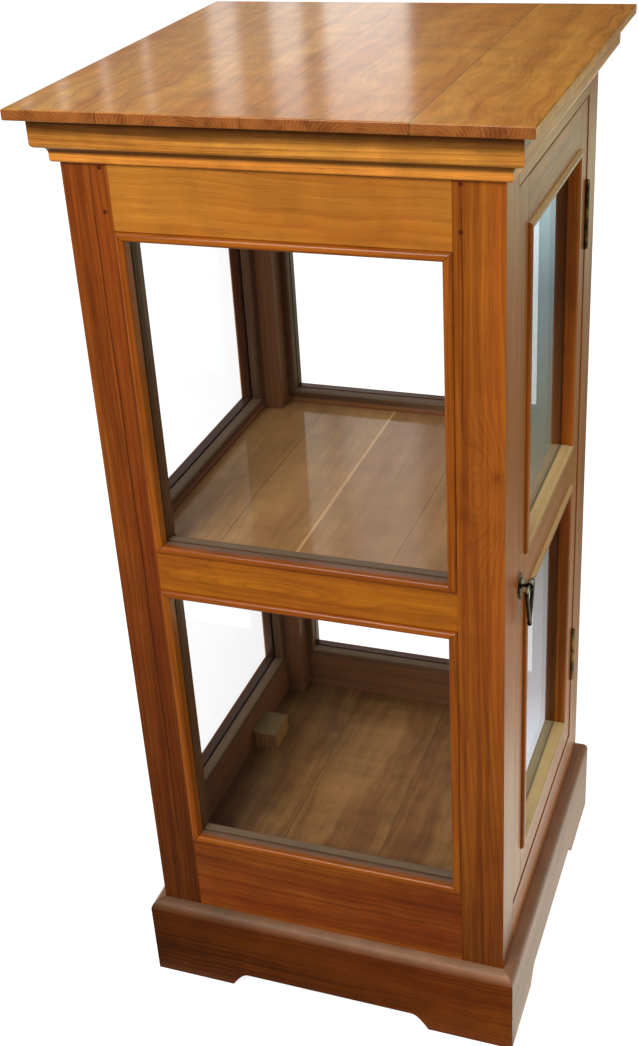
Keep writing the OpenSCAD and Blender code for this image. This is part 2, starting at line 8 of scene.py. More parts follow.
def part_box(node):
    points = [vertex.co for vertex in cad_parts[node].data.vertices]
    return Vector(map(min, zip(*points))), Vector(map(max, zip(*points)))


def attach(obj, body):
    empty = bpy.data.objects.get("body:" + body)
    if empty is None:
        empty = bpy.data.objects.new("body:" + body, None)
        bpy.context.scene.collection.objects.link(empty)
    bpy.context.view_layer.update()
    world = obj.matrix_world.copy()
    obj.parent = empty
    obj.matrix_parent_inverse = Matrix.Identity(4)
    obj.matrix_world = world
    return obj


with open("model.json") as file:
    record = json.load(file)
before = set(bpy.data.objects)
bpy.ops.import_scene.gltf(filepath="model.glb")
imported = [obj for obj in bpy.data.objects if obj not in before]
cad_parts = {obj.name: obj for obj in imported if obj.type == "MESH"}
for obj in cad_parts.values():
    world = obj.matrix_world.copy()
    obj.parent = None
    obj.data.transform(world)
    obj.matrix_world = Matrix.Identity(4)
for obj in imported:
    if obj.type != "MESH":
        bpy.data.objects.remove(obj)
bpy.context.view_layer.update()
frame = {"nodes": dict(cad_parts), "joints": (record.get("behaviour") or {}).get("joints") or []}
nodes = frame["nodes"]
print("frame loaded,", len(nodes), "nodes")


def tone(r, g, b):  # a colour as seen on a screen, 0 to 255, made linear
    def linear(c):
        c /= 255
        return c / 12.92 if c <= 0.04045 else ((c + 0.055) / 1.055) ** 2.4
    return (linear(r), linear(g), linear(b), 1)


class Sock:  # one output of a shader node; sums on it make Math nodes
    def __init__(self, mat, out):
        self.mat = mat
        self.out = out

    def math(self, op, a, b=None):
        sockets = {0: a} if b is None else {0: a, 1: b}
        return self.mat.node("ShaderNodeMath", {"operation": op}, sockets)

    def __add__(self, other): return self.math("ADD", self, other)
    def __radd__(self, other): return self.math("ADD", other, self)
    def __sub__(self, other): return self.math("SUBTRACT", self, other)
    def __rsub__(self, other): return self.math("SUBTRACT", other, self)
    def __mul__(self, other): return self.math("MULTIPLY", self, other)
    def __rmul__(self, other): return self.math("MULTIPLY", other, self)
    def __truediv__(self, other): return self.math("DIVIDE", self, other)
    def __neg__(self): return self.math("MULTIPLY", self, -1)
    def sqrt(self): return self.math("SQRT", self)
    def fract(self): return self.math("FRACT", self)
    def abs(self): return self.math("ABSOLUTE", self)
    def exp(self): return self.math("EXPONENT", self)
    def above(self, edge): return self.math("GREATER_THAN", self, edge)
    def largest(self, other): return self.math("MAXIMUM", self, other)
    def clip(self, low, high): return self.math("MINIMUM", self.largest(low), high)
    def past(self, edge, gain, most=1): return ((self - edge) * gain).clip(0, most)  # 0 up to the edge
    def near(self, middle, wide): return 1 - ((self - middle).abs() / wide).clip(0, 1)  # 1 at the middle


class Mat:  # the node tree of a material or of the world
    def __init__(self, owner):
        self.owner = owner
        owner.use_nodes = True
        self.tree = owner.node_tree
        self.tree.nodes.clear()

    def node(self, kind, settings=None, sockets=None, out=0):
        n = self.tree.nodes.new(kind)
        for key, value in (settings or {}).items():
            if key == "stops":
                ramp = n.color_ramp
                while len(ramp.elements) < len(value):
                    ramp.elements.new(1)
                for stop, (place, colour) in zip(ramp.elements, value):
                    stop.position = place
                    stop.color = colour if hasattr(colour, "__len__") else (colour, colour, colour, 1)
            elif key == "interpolation" and kind == "ShaderNodeValToRGB":
                n.color_ramp.interpolation = value
            else:
                setattr(n, key, value)
        for key, value in (sockets or {}).items():
            if isinstance(value, Sock):
                self.tree.links.new(value.out, n.inputs[key])
            else:
                n.inputs[key].default_value = value
        return Sock(self, n.outputs[out]) if len(n.outputs) else n

    def spot(self):  # where a point lies on the piece
        return self.node("ShaderNodeTexCoord", out=3)

    def facing(self):  # the way a face looks, on the piece
        return self.split(self.node("ShaderNodeTexCoord", out=1))

    def split(self, vector):
        return [self.node("ShaderNodeSeparateXYZ", None, {0: vector}, out=i) for i in range(3)]

    def join(self, x, y, z):
        return self.node("ShaderNodeCombineXYZ", None, {0: x, 1: y, 2: z})

    def noise(self, vector, scale=1, detail=2, rough=0.5):
        return self.node("ShaderNodeTexNoise", None,
                         {"Vector": vector, "Scale": scale, "Detail": detail, "Roughness": rough})

    def ramp(self, value, stops, interpolation="LINEAR"):
        return self.node("ShaderNodeValToRGB", {"stops": stops, "interpolation": interpolation}, {0: value})

    def mix(self, factor, a, b, blend="MIX"):
        return self.node("ShaderNodeMix", {"data_type": "RGBA", "blend_type": blend},
                         {0: factor, 6: a, 7: b}, out=2)

    def rays(self):  # rays that see the background plain, and glossy rays
        camera, glossy, through = (self.node("ShaderNodeLightPath", out=i) for i in (0, 3, 6))
        return camera.largest(through), glossy

    def finish(self, shader, output="ShaderNodeOutputMaterial"):
        self.node(output, None, {0: shader})
        return self.owner


def newMaterial(name):
    return Mat(bpy.data.materials.new(name))


def dress(obj, mat):
    obj.data.materials.clear()
    obj.data.materials.append(mat)


# places on the cabinet that the looks go by
wallHalf = -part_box("post_front_left")[1].x      # half the width between the posts
doorHalf = -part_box("door_lock_stile")[1].y      # and between the door's stiles
wallFace = -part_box("front_top_rail")[1].y       # how far the walls' inner faces are from the middle
beadFoot = -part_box("front_outer_beads")[1].y    # and the outer beads where they meet the glass
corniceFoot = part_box("cornice_front")[0].z
bays = [(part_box("front_bottom_rail")[1].z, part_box("front_mid_rail")[0].z),
        (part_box("front_mid_rail")[1].z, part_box("front_top_rail")[0].z)]
bayMiddles = [sum(bay) / 2 for bay in bays]
bayHalf = (bays[0][1] - bays[0][0]) / 2

woodBase = {
    "grain": "z",            # the axis that the fibres follow, "yv" on upright boards that run along Y
    "gold": (182, 108, 34), "red": (160, 78, 22), "dark": (104, 44, 8),
    "pith": (0.05, 0.25),    # where the middle of the tree lies, across the grain
    "tilt": (0.0, 0.0),      # how the tree's axis leans along the piece
    "sway": 0.03,            # how much the rings wander
    "rings": 200,            # rings to the metre
    "ringDepth": 0.5,
    "hue": 2.6,              # contrast between the golden and the red patches
    "veins": 0.55,           # thin dark lines that wander along the grain
    "bumps": [],             # (along, across, length, width, height): ovals in the rings
    "knots": [],             # (along, across, half length, half width, strength): dark spots
    "bands": [],             # (across, half width, strength): reddish bands along the grain
    "mottle": 0.25,          # soft light and dark figure across the grain
    "warp": 0.0,             # how far the fibres swirl, in metres
    "contrast": 1.0,         # strength of the dark streaks and fibres
    "jointTone": (50, 20, 6), "jointWidth": 0.0007,
    "lines": [],             # (across, width, from, to): dark lines along the grain
    "endDark": 0.6,          # how much darker the end grain is
    "endTone": None,
    "endArcs": None,         # the arcs of the rings that the end grain shows
    "planks": None,          # places across the grain where one plank meets the next
    "shade": [],             # (axis, [(place, factor), ...]); the axis "out" is the distance from the middle
    "reveal": 1.0,           # how bright a strip's edges are beside its face: painted shade on the reveals
    "evenSides": False,      # the upright strips keep out of the reveal's shade
    "inside": 0.6,           # how far the inner faces go to a dull brown: painted shade inside the case
    "frame": None,           # (axis, half width): mitred strips round both panes of a wall
    "dustAndHighlight": 0.0,             # pale film on faces that look up: dust, and a painted highlight where those faces catch the light
    "dustAndHighlightTone": (176, 140, 112), "dustAndHighlightAll": False,
    "coatUp": False,         # polished on the upper faces only
    "rough": 0.36, "coat": 0.06, "coatRough": 0.12, "specular": 0.175,
}
woodLayers = {  # waves to the metre, across the grain and along it
    "swirl": (16, 13), "slow": (7, 1.3), "slowDeep": (7, 1.6), "wobble": (60, 5), "patch": (20, 2.4),
    "broad": (42, 0.8), "vein": (36, 0.55), "veinPart": (16, 1.9), "streak": (130, 2.2),
    "fibre": (620, 16), "pore": (1050, 48), "cloud": (24, 30),
}
woodShared = {
    "seedStep": 3.7,         # how far apart in the noise two pieces lie
    "turnStep": 5.3,         # and the lying and upright strips of one piece
    "mitre": 0.0007,         # half the width of the line at a mitre
    "sideFrom": wallFace - 0.005,  # strips farther out than this stand in a side wall
    "late": [(0.0, 0.05), (0.45, 0.12), (0.78, 0.5), (0.93, 1.0), (1.0, 0.1)],  # dark late wood in a ring
    "poreTone": (66, 26, 4), "lineTone": (62, 22, 4),
    "insideTones": ((152, 116, 80), (100, 70, 46)),
    "insideFrom": wallFace + 0.0015, "insideFade": 0.003,
    "dustAndHighlightFrom": beadFoot + 0.003, "dustAndHighlightFade": 0.006,  # the film lies in the corner by the glass: dust, and a painted reflection of the glass's edge
    "bump": {"Strength": 0.14, "Distance": 0.0012},
    "relief": {"fibre": 0.5, "streak": 0.3, "pores": 0.9, "late": 0.25, "joint": 1.2},  # the last three sink
    "roughSpread": 0.12,
}
woodFigure = {
    # the tones of the planks, and how far apart they lie in the noise and in the tree
    "plankStep": 0.37, "plankFirst": 0.13, "plankShift": 9.0, "plankAcross": 0.31, "plankHue": 0.6,
    # rings: waves to the metre of radius, and how far they act
    "spacingWaves": 30, "spacing": 5, "wobble": 0.5,
    "strongWaves": 55, "strongAlong": 0.6, "strongGain": 2.4, "strongLess": 0.35,
    # how far the slow noise bends the other layers sideways
    "bendPatch": 2, "bendVein": 3, "bendCloud": 4, "bendBand": 0.02, "bendKnot": 0.01,
    # from which value of the noise it shows, how fast it grows and to what most
    "veinWide": 1 / 26, "veinPart": (0.46, 7), "pores": (0.62, 9), "poreDark": 0.22,
    "broad": (0.50, 2.8, 0.5), "streak": (0.47, 2.6, 0.6), "fibre": (0.50, 2.0, 0.4),
    "lineWaves": 6, "lineSway": 0.006, "lineFade": 25, "lineDark": 0.85, "jointDark": 0.8,
    "arcWobble": 1.6, "wornArc": 0.7, "wornLess": 0.1, "wornBroad": 3, "paleMost": 0.8,
    "filmUp": 1.3, "filmPatch": 0.8,
}


def wood(name, seed, **changes):
    look, figure = dict(woodBase, **changes), woodFigure
    m = newMaterial(name)
    x, y, z = m.split(m.spot())
    facing = m.facing()
    along, across, deep = {"x": (x, z, y), "y": (y, x, z), "yv": (y, z, x), "z": (z, x, y)}[look["grain"]]
    shift = seed * woodShared["seedStep"]
    joint = out = lying = None

    # strips round a pane: the grain turns at the mitres
    if look["frame"]:
        axis, half = look["frame"]
        onSide = x.abs().above(woodShared["sideFrom"])
        flat = {"x": x, "y": y, "xy": x + (y - x) * onSide}[axis]
        other = {"x": y, "y": x, "xy": y + (x - y) * onSide}[axis]
        middle = z.above(sum(bayMiddles) / 2) * (bayMiddles[1] - bayMiddles[0]) + bayMiddles[0]
        apart = ((z - middle).abs() - bayHalf) - (flat.abs() - half)
        lying = apart.above(0)
        along, across, deep = z + (flat - z) * lying, flat + (z - flat) * lying, other
        out = other.abs()
        shift = lying * woodShared["turnStep"] + shift
        joint = apart.near(0, woodShared["mitre"])

    # planks side by side, each from its own part of the tree
    plankTone = 0.5
    grainAcross = across
    if look["planks"]:
        edges = look["planks"]
        low, high = edges[0], edges[-1]
        stops = [((e - low) / (high - low), (i * figure["plankStep"] + figure["plankFirst"]) % 1)
                 for i, e in enumerate(edges[:-1])]
        plankTone = m.ramp((across - low) / (high - low), stops, "CONSTANT")
        shift = plankTone * figure["plankShift"] + shift
        grainAcross = across + (plankTone - 0.5) * figure["plankAcross"]
        for e in edges[1:-1]:
            line = across.near(e, look["jointWidth"])
            joint = line if joint is None else joint + line

    def layer(kind, drift=0, offset=0, **settings):
        fine, long = woodLayers[kind]
        place = m.join(grainAcross * fine + drift, deep * fine, along * long + shift + offset)
        return m.noise(place, **settings)

    if look["warp"]:
        swirl = layer("swirl", offset=4.0, detail=1) - 0.5
        grainAcross = grainAcross + swirl * look["warp"]

    # rings round the pith
    slow = layer("slow") - 0.5
    slowDeep = layer("slowDeep", drift=5.2, detail=1) - 0.5
    a = grainAcross - look["pith"][0] + along * look["tilt"][0] + slow * look["sway"]
    d = deep - look["pith"][1] + along * look["tilt"][1] + slowDeep * look["sway"]
    radius = (a * a + d * d).sqrt()
    for (u0, v0, du, dv, high) in look["bumps"]:
        p, q = (along - u0) / du, (across - v0) / dv
        radius = radius + (-(p * p + q * q)).exp() * high
    wobble = layer("wobble") - 0.5
    spacing = m.noise(m.join(radius * figure["spacingWaves"], 0.3, seed), detail=1) - 0.5
    ring = (radius * look["rings"] + wobble * figure["wobble"] + spacing * figure["spacing"]).fract()
    place = m.join(radius * figure["strongWaves"], 1.7, seed + along * figure["strongAlong"])
    strong = m.noise(place, detail=1)
    late = m.ramp(ring, woodShared["late"]) * (strong * figure["strongGain"] - figure["strongLess"]).clip(0, 1)

    # patches, veins, fibres and pores
    patch = layer("patch", drift=slow * figure["bendPatch"], detail=3, rough=0.6)
    broad = layer("broad", drift=slow * figure["bendPatch"], detail=3, rough=0.6)
    vein = layer("vein", drift=slow * figure["bendVein"], offset=3.1, detail=3, rough=0.55)
    vein = vein.near(0.5, figure["veinWide"])
    vein = vein * layer("veinPart", offset=8.0, detail=1).past(*figure["veinPart"])
    streak = layer("streak", detail=4, rough=0.6)
    fibre = layer("fibre", detail=3, rough=0.6)
    pores = layer("pore", detail=1).past(*figure["pores"])

    # colour
    gold, red, dark = (tone(*look[k]) for k in ("gold", "red", "dark"))

    def darken(body, kind, grains):
        edge, gain, most = figure[kind]
        return m.mix(grains.past(edge, gain * look["contrast"], most), body, dark)

    hue = ((patch - 0.5) * look["hue"] + 0.5 + (plankTone - 0.5) * figure["plankHue"]).clip(0, 1)
    body = darken(m.mix(hue, gold, red), "broad", broad)
    body = darken(body, "streak", streak)
    for (middle, wide, strength) in look["bands"]:
        body = m.mix((across + slow * figure["bendBand"]).near(middle, wide) * strength, body, red)
    body = m.mix((late * look["ringDepth"]).clip(0, 1), body, dark)
    body = m.mix(vein * look["veins"], body, dark)
    body = darken(body, "fibre", fibre)
    body = m.mix(pores * figure["poreDark"], body, tone(*woodShared["poreTone"]))
    for (v0, wide, start, end) in look["lines"]:
        wander = m.noise(m.join(along * figure["lineWaves"], 0.5, shift + 2.0), detail=2) - 0.5
        line = (across + wander * figure["lineSway"]).near(v0, wide)
        fade = figure["lineFade"]
        span = along.past(start, fade) * ((end - along) * fade).clip(0, 1)
        body = m.mix(line * span * figure["lineDark"], body, tone(*woodShared["lineTone"]))
    for (u0, v0, du, dv, strength) in look["knots"]:
        p, q = (along - u0) / du, (across - v0 + slow * figure["bendKnot"]) / dv
        body = m.mix((-(p * p + q * q)).exp() * strength, body, dark)

    # end grain and joints
    if look["endDark"]:
        ends = facing["xyz".index({"yv": "y"}.get(look["grain"], look["grain"]))]
        endTone = tone(*look["endTone"]) if look["endTone"] else dark
        if look["endArcs"]:
            arcs = look["endArcs"]
            u = ((grainAcross * arcs["hearts"]).fract() - 0.5) / arcs["hearts"]
            v = deep - arcs["depth"]
            arc = ((u * u + v * v).sqrt() * arcs["rings"] + wobble * figure["arcWobble"] + patch).fract()
            paleMark = arc * figure["wornArc"] - figure["wornLess"] + (broad - 0.5) * figure["wornBroad"]
            paleMark = paleMark.clip(0, figure["paleMost"])
            endTone = m.mix(paleMark, tone(*arcs["pale"]), endTone)
        body = m.mix((ends * ends) * look["endDark"], body, endTone)
    if joint is not None:
        body = m.mix(joint.clip(0, 1) * figure["jointDark"], body, tone(*look["jointTone"]))

    # dust and painted highlight on faces that look up, painted light and shade along the axes and on the
    # reveals, and the dull brown of painted shade on the inner faces
    if look["dustAndHighlight"]:
        film = (facing[2] * figure["filmUp"]).clip(0, 1) * (patch * figure["filmPatch"] + streak).clip(0, 1)
        if out is not None and not look["dustAndHighlightAll"]:
            film = film * (1 - out.past(woodShared["dustAndHighlightFrom"], 1 / woodShared["dustAndHighlightFade"]))
        body = m.mix(film * look["dustAndHighlight"], body, tone(*look["dustAndHighlightTone"]))
    cloud = layer("cloud", drift=slow * figure["bendCloud"], detail=3, rough=0.55)
    level = 1 + (cloud - 0.5) * look["mottle"]
    factors = []
    for axis, stops in look["shade"]:
        place = {"x": x, "y": y, "z": z, "out": out}[axis]
        low, high = stops[0][0], stops[-1][0]
        halves = [((at - low) / (high - low), factor / 2) for at, factor in stops]  # the ramp ends at 1
        factors.append(m.ramp((place - low) / (high - low), halves) * 2)
    if look["frame"] and look["reveal"] != 1:
        face = {"x": facing[1], "y": facing[0]}[look["frame"][0]].abs()
        factors.append(face * (1 - look["reveal"]) + look["reveal"])
    for factor in factors:
        level = ((factor - 1) * lying + 1 if look["evenSides"] else factor) * level
    body = m.mix(1.0, body, m.join(level, level, level), "MULTIPLY")
    # painted shade: the faces inside the case go to a dull brown
    if look["inside"]:
        within = 1 - x.abs().largest(y.abs()).past(woodShared["insideFrom"], 1 / woodShared["insideFade"])
        dull = m.mix(streak, *(tone(*t) for t in woodShared["insideTones"]))
        body = m.mix(within * look["inside"], body, dull)

    # surface
    spread, relief = woodShared["roughSpread"], woodShared["relief"]
    rough = look["rough"] + (fibre - 0.5) * spread + (patch - 0.5) * spread
    height = fibre * relief["fibre"] + streak * relief["streak"]
    height = height - pores * relief["pores"] - late * relief["late"]
    if joint is not None:
        height = height - joint * relief["joint"]
    bump = m.node("ShaderNodeBump", None, {**woodShared["bump"], "Height": height})
    shader = m.node("ShaderNodeBsdfPrincipled", None, {
        "Base Color": body, "Roughness": rough, "Normal": bump,
        "Coat Weight": facing[2].clip(0.05, 1) * look["coat"] if look["coatUp"] else look["coat"],
        "Coat Roughness": look["coatRough"],
        "Specular IOR Level": look["specular"]})
    return m.finish(shader)


# the shades of teak, light to dark
teak = {
    "honey": dict(gold=(200, 132, 48), red=(178, 104, 30), dark=(126, 64, 14)),
    "orange": dict(gold=(184, 108, 28), red=(164, 82, 22), dark=(116, 50, 8)),
    "russet": dict(gold=(158, 86, 24), red=(132, 58, 14), dark=(82, 30, 4)),
    "brown": dict(gold=(134, 66, 8), red=(112, 46, 2), dark=(70, 26, 2)),
    "shadow": dict(gold=(120, 64, 26), red=(96, 46, 16), dark=(58, 24, 8)),
}
corniceMouldings = [  # millimetres over the cornice's foot, and how bright: a painted highlight on the lower band, painted shade in the cove, and the top board's painted shadow on the fascia
    (-1, 0.9), (1, 1.6), (3, 1.8), (7.5, 1.8), (9.2, 1.3), (10.8, 0.55), (15, 0.55), (17.2, 0.9), (20, 1.2),
    (27.5, 1.05), (33.5, 0.5), (47, 0.36),
]
corniceLightAndShade = [("z", [(corniceFoot + up / 1000, factor) for up, factor in corniceMouldings])]
# the reddish band near the top of the fascia is painted shade under the top board
corniceLook = dict(gold=(216, 146, 58), red=(180, 104, 34), dark=(120, 62, 20), shade=corniceLightAndShade, inside=0,
                   mottle=0.8, contrast=0.9, bands=[(corniceFoot + 0.045, 0.016, 0.85)])
plinthLook = dict(teak["brown"], dustAndHighlight=0.3, dustAndHighlightTone=(186, 160, 130), rough=0.42, coat=0, specular=0.16,
                  mottle=0.6)
woodLooks = {
    "top_board": dict(grain="y", gold=(222, 156, 60), red=(200, 126, 40), dark=(146, 82, 20),
                      planks=[-0.26, -0.155, -0.012, 0.144, 0.26], pith=(0.02, -0.06), tilt=(0.10, 0.05),
                      sway=0.10, rings=70, ringDepth=0.25, hue=4, mottle=0.8, warp=0.035, contrast=0.6,
                      specular=0.15, coat=0.6, coatUp=True, coatRough=0.09, endDark=0.95, endTone=(100, 46, 14),
                      endArcs={"hearts": 7, "depth": 1.093, "rings": 300, "pale": (156, 90, 42)},
                      inside=0, bumps=[(0.05, 0.16, 0.05, 0.03, 0.05), (-0.16, -0.07, 0.07, 0.03, 0.04)]),
    "cornice_front": dict(corniceLook, grain="x"),
    "cornice_back": dict(corniceLook, grain="x"),
    "cornice_left": dict(corniceLook, grain="yv"),
    "cornice_right": dict(corniceLook, grain="yv"),
    # painted light: the front posts grow darker towards the floor, where the light falls off, and lighter near
    # the top
    "post_front_left": dict(teak["russet"], contrast=1.3, pith=(-0.35, -0.1),
                            lines=[(-0.189, 0.0014, 0.2, 1.07)], bands=[(-0.180, 0.012, 0.7)],
                            shade=[("z", [(0.12, 0.5), (0.6, 1.0), (1.0, 1.3)])]),
    "post_front_right": dict(teak["orange"], contrast=1.3, pith=(0.30, -0.1),
                             lines=[(0.178, 0.0012, 0.80, 1.07)], bands=[(0.214, 0.012, 0.7)],
                             bumps=[(0.75, 0.195, 0.05, 0.018, 0.03)],
                             knots=[(0.761, 0.180, 0.012, 0.0035, 0.75), (0.771, 0.212, 0.007, 0.005, 0.65),
                                    (0.726, 0.179, 0.008, 0.006, 0.65)],
                             shade=[("z", [(0.12, 0.62), (0.6, 1.12), (1.0, 1.08)])]),
    "post_back_left": dict(teak["russet"], pith=(-0.35, 0.4)),
    "post_back_right": dict(teak["orange"], pith=(0.3, 0.4)),
    "front_top_rail": dict(teak["honey"], grain="x", pith=(1.10, -0.33), tilt=(0.02, 0), sway=0.05, rings=90,
                           ringDepth=0.25, veins=0.2, mottle=0.5, warp=0.01, contrast=0.5,
                           shade=[("z", [(0.99, 1.1), (1.07, 1.1)])]),
    "front_mid_rail": dict(teak["orange"], gold=(196, 116, 20), grain="x", pith=(0.60, -0.42), sway=0.02,
                           rings=150, bumps=[(-0.04, 0.606, 0.075, 0.010, 0.024)], veins=0.2, mottle=0.4,
                           warp=0.008, contrast=0.7),
    "front_bottom_rail": dict(teak["russet"], grain="x", pith=(0.0, -0.4), mottle=0.5, warp=0.008,
                              contrast=0.55, hue=4, shade=[("z", [(0.1, 1.12), (0.2, 1.12)])]),
    "back_top_rail": dict(teak["orange"], grain="x"),
    "back_mid_rail": dict(teak["orange"], grain="x"),
    "back_bottom_rail": dict(teak["russet"], grain="x"),
    "left_top_rail": dict(teak["orange"], grain="yv"),
    "left_mid_rail": dict(teak["orange"], grain="yv"),
    "left_bottom_rail": dict(teak["russet"], grain="yv"),
    "door_header": dict(teak["honey"], grain="yv"),
    "door_sill_rail": dict(teak["orange"], grain="yv"),
    "door_lock_stile": dict(teak["orange"], pith=(0.4, 0.0)),
    "door_hinge_stile": dict(teak["orange"], pith=(0.4, 0.3)),
    "door_top_rail": dict(teak["orange"], grain="yv"),
    "door_mid_rail": dict(teak["orange"], grain="yv"),
    "door_bottom_rail": dict(teak["orange"], grain="yv"),
    "plinth_front": dict(plinthLook, grain="x", pith=(0.3, -0.4), warp=0.01, contrast=0.7,
                         shade=[("x", [(-0.235, 0.54), (0.0, 0.98), (0.235, 1.3)])]),
    "plinth_back": dict(plinthLook, grain="x"),
    "plinth_left": dict(plinthLook, grain="yv"),
    "plinth_right": dict(plinthLook, grain="yv", specular=0.22),
    # the shelf's pale joint lines are a painted highlight on the planks' edges
    "shelf_board": dict(grain="y", gold=(188, 144, 88), red=(160, 112, 68), dark=(118, 78, 44), inside=0,
                        ringDepth=0.15, mottle=0.6, veins=0.1, contrast=0.25, jointTone=(236, 192, 132),
                        jointWidth=0.0028, planks=[-0.2, -0.023, 0.2],
                        lines=[(-0.115, 0.0007, -0.2, 0.2), (0.085, 0.0007, -0.2, 0.2)],
                        pith=(0.05, 0.2), tilt=(0.12, 0.03), sway=0.08, rings=70,
                        rough=0.45, coat=0.7, coatRough=0.08),
    "floor_board": dict(grain="y", gold=(168, 122, 70), red=(138, 92, 52), dark=(88, 56, 30), inside=0,
                        ringDepth=0.15, mottle=1.0, veins=0.15, contrast=0.4, hue=5, warp=0.02,
                        shade=[("x", [(-0.2, 0.45), (-0.1, 0.75), (0.0, 0.9), (0.2, 0.85)]),
                               ("y", [(-0.2, 1.0), (0.0, 1.1), (0.2, 0.8)])],
                        planks=[-0.2, -0.085, 0.04, 0.2], pith=(-0.05, 0.2), tilt=(-0.1, 0.03), sway=0.08,
                        rings=70, rough=0.5, coat=0.1),
    "board_cleats": dict(teak["shadow"], grain="x", coat=0, inside=0, rough=0.55),
    "floor_block": dict(gold=(190, 140, 84), red=(156, 106, 60), dark=(104, 66, 34), coat=0, inside=0,
                        rough=0.6, dustAndHighlight=0.6, dustAndHighlightAll=True, dustAndHighlightTone=(128, 120, 84)),
    "tenon_pegs": dict(grain="x", gold=(112, 46, 16), red=(96, 36, 12), dark=(60, 20, 6), endDark=0),
}
# painted shade: the outer beads grow darker towards the glass, in the recess of the reveal
nearGlass = [("out", [(beadFoot + out / 1000, factor)
                      for out, factor in ((-0.5, 0.45), (4, 0.6), (10, 1.0), (14.5, 1.0))])]
beadLook = dict(gold=(186, 104, 24), red=(160, 78, 16), dark=(112, 46, 6), rough=0.3, coat=0.15, endDark=0,
                rings=260, dustAndHighlight=0.9, reveal=0.75, shade=nearGlass, inside=0)
# the inner beads take a duller, darker teak: painted shade inside the case
innerLook = dict(gold=(132, 98, 66), red=(108, 76, 50), dark=(76, 50, 32), coat=0, rough=0.5, endDark=0,
                 inside=0)
strips = {
    "front_outer_beads": dict(beadLook, frame=("x", wallHalf), evenSides=True),
    "back_outer_beads": dict(beadLook, frame=("x", wallHalf), reveal=0.4),
    "left_outer_beads": dict(beadLook, frame=("y", wallHalf), reveal=0.22),
    # on the door's beads the pale golden film on the faces that look up is a painted highlight
    "door_outer_beads": dict(beadLook, frame=("y", doorHalf), reveal=1.0, shade=[], dustAndHighlight=0.85, dustAndHighlightAll=True,
                             dustAndHighlightTone=(226, 196, 134)),
    "case_inner_beads": dict(innerLook, frame=("xy", wallHalf), dustAndHighlight=0.4, dustAndHighlightAll=True,
                             dustAndHighlightTone=(150, 136, 112)),
    "door_inner_beads": dict(innerLook, frame=("y", doorHalf), dustAndHighlight=0.85, dustAndHighlightAll=True,
                             dustAndHighlightTone=(214, 184, 124)),
}

for looks, firstSeed in ((woodLooks, 1), (strips, 40)):
    for seed, (nodeName, look) in enumerate(looks.items(), firstSeed):
        dress(nodes[nodeName], wood("teak_" + nodeName, seed, **look))
print("wood on", len(woodLooks) + len(strips), "pieces")


# clear from the front, a bluish mirror from the side
glassLook = {"tint": (170, 196, 255), "haze": 0.008, "edge": 1.55, "rough": 0.02}


def paneGlass(name):
    m = newMaterial(name)
    facing = m.node("ShaderNodeLayerWeight", None, {"Blend": 0.5}, out=1)
    clear = m.node("ShaderNodeBsdfTransparent", None, {"Color": (1, 1, 1, 1)})
    face = m.node("ShaderNodeBsdfPrincipled", None, {
        "Base Color": tone(*glassLook["tint"]), "Roughness": glassLook["rough"], "Metallic": 1.0})
    steep = facing * facing * facing
    steep = steep * steep
    factor = (steep * glassLook["edge"] + glassLook["haze"]).clip(0, 1)
    shader = m.node("ShaderNodeMixShader", None, {0: factor, 1: clear, 2: face})
    return m.finish(shader)


glass = paneGlass("pane_glass")
for nodeName in nodes:
    if nodeName.startswith("glass_"):
        dress(nodes[nodeName], glass)

metalLooks = {
    "aged_brass": {"bright": (150, 120, 66), "dull": (52, 42, 28), "rough": 0.42, "scale": 60},
    "dark_bronze": {"bright": (84, 82, 70), "dull": (24, 24, 22), "rough": 0.4, "scale": 90,
                    "paleMark": (206, 214, 190)},
    "zinc_plate": {"bright": (150, 152, 156), "dull": (96, 98, 100), "rough": 0.4, "scale": 80},
}
metalShared = {
    "fineTimes": 14, "fineShare": 0.3,  # the small dents against the patches
    "brightFrom": 0.42, "brightGain": 3.2,
    "paleFrom": 0.25, "paleGain": 2, "paleMost": 0.85,
    "bump": {"Strength": 0.12, "Distance": 0.0004}, "metallic": 0.9, "roughSpread": 0.3,
}


def metal(name, bright, dull, rough, scale, paleMark=None):
    look = metalShared
    m = newMaterial(name)
    patches = m.noise(m.spot(), scale, 4, 0.6)
    fine = m.noise(m.spot(), scale * look["fineTimes"], 2)
    colour = m.mix(patches.past(look["brightFrom"], look["brightGain"]), tone(*dull), tone(*bright))
    if paleMark:  # painted highlight: a pale tone on the faces that look up, where the light falls
        up = m.facing()[2].past(look["paleFrom"], look["paleGain"], look["paleMost"])
        colour = m.mix(up, colour, tone(*paleMark))
    bump = m.node("ShaderNodeBump", None, {**look["bump"], "Height": patches + fine * look["fineShare"]})
    shader = m.node("ShaderNodeBsdfPrincipled", None, {
        "Base Color": colour, "Metallic": look["metallic"], "Normal": bump,
        "Roughness": rough + (patches - 0.5) * look["roughSpread"]})
    return m.finish(shader)


agedBrass, darkBronze, zinc = (metal(name, **look) for name, look in metalLooks.items())
for nodeName in nodes:
    if "hinge" in nodeName and nodeName != "door_hinge_stile":
        dress(nodes[nodeName], agedBrass)
for nodeName in ["pull_back_plate", "pull_stud", "pull_ring"]:
    dress(nodes[nodeName], darkBronze)
dress(nodes["catch_strike"], zinc)

catchLook = {
    "colour": (52, 30, 18), "pale": 1.25, "cloudy": 40, "grainy": 900,
    "rough": 0.5, "roughSpread": 0.1, "bump": {"Strength": 0.1, "Distance": 0.0003},
}


